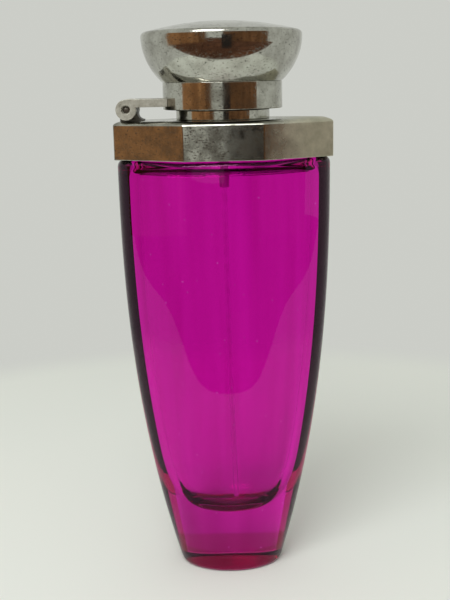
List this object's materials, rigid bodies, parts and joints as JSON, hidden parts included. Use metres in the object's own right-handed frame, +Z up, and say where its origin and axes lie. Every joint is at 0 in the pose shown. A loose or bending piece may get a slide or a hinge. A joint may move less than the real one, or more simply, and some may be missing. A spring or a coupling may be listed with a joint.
{
  "type": "perfume bottle",
  "caption": "Tapered thick-walled coloured glass atomiser bottle with a faceted cast metal collar, a crimped spray pump and a flip-up domed metal cap on a side hinge.",
  "frame": {"origin": "centre of the glass base, on the surface the bottle stands on", "axes": "+Z up the bottle's axis, +X to the right away from the hinge, -Y towards the front facet and the nozzle"},
  "size_m": [0.0618, 0.0452, 0.1615],
  "materials": {
    "bottle_glass": "polished, tinted right through",
    "soft_seal": "soft, matt",
    "natural_plastic": "moulded, satin",
    "steel": "drawn, smooth",
    "black_rubber": "matt",
    "ferrule_aluminium": "bright rolled sheet",
    "clear_tube": "clear extruded",
    "dark_plastic": "moulded, satin",
    "cast_collar": "plated casting, pitted and tarnished",
    "plated_ring": "turned and plated, lightly pitted",
    "worn_casting": "dull worn plating",
    "hinge_steel": "dull, dirty",
    "button_plastic": "metallised, satin",
    "plated_dome": "plated, finely pitted"
  },
  "bodies": {
    "bottle": {"glass_bottle": "bottle_glass", "neck_gasket": "soft_seal", "pump_housing": "natural_plastic", "return_spring": "steel", "stem_seal": "black_rubber", "pump_closure": "natural_plastic", "pump_ferrule": "ferrule_aluminium", "dip_tube": "clear_tube", "collar_insert": "dark_plastic", "collar": "cast_collar", "neck_ring": "plated_ring", "hinge_lug": "worn_casting", "hinge_pin": "hinge_steel"},
    "cap": {"cap_liner": "dark_plastic", "cap_ring": "plated_ring", "cap_arm": "worn_casting", "cap_dome": "plated_dome"},
    "button": {"spray_button": "button_plastic", "nozzle_insert": "natural_plastic", "pump_stem": "natural_plastic", "pump_piston": "natural_plastic"},
    "inlet_valve": {"inlet_ball": "steel"}
  },
  "joints": [
    {"name": "cap_hinge", "type": "hinge", "parent": "bottle", "child": "cap", "pos_m": [-0.0269, 0, 0.13775], "axis": [0, -1, 0], "range_deg": [0, 115]},
    {"name": "button_press", "type": "slide", "parent": "bottle", "child": "button", "axis": [0, 0, -1], "range_m": [0, 0.0036], "stiffness_N_per_m": 900, "springref_m": -0.004, "deforming": ["return_spring"]},
    {"name": "inlet_lift", "type": "slide", "parent": "bottle", "child": "inlet_valve", "axis": [0, 0, 1], "range_m": [0, 0.0008]}
  ]
}
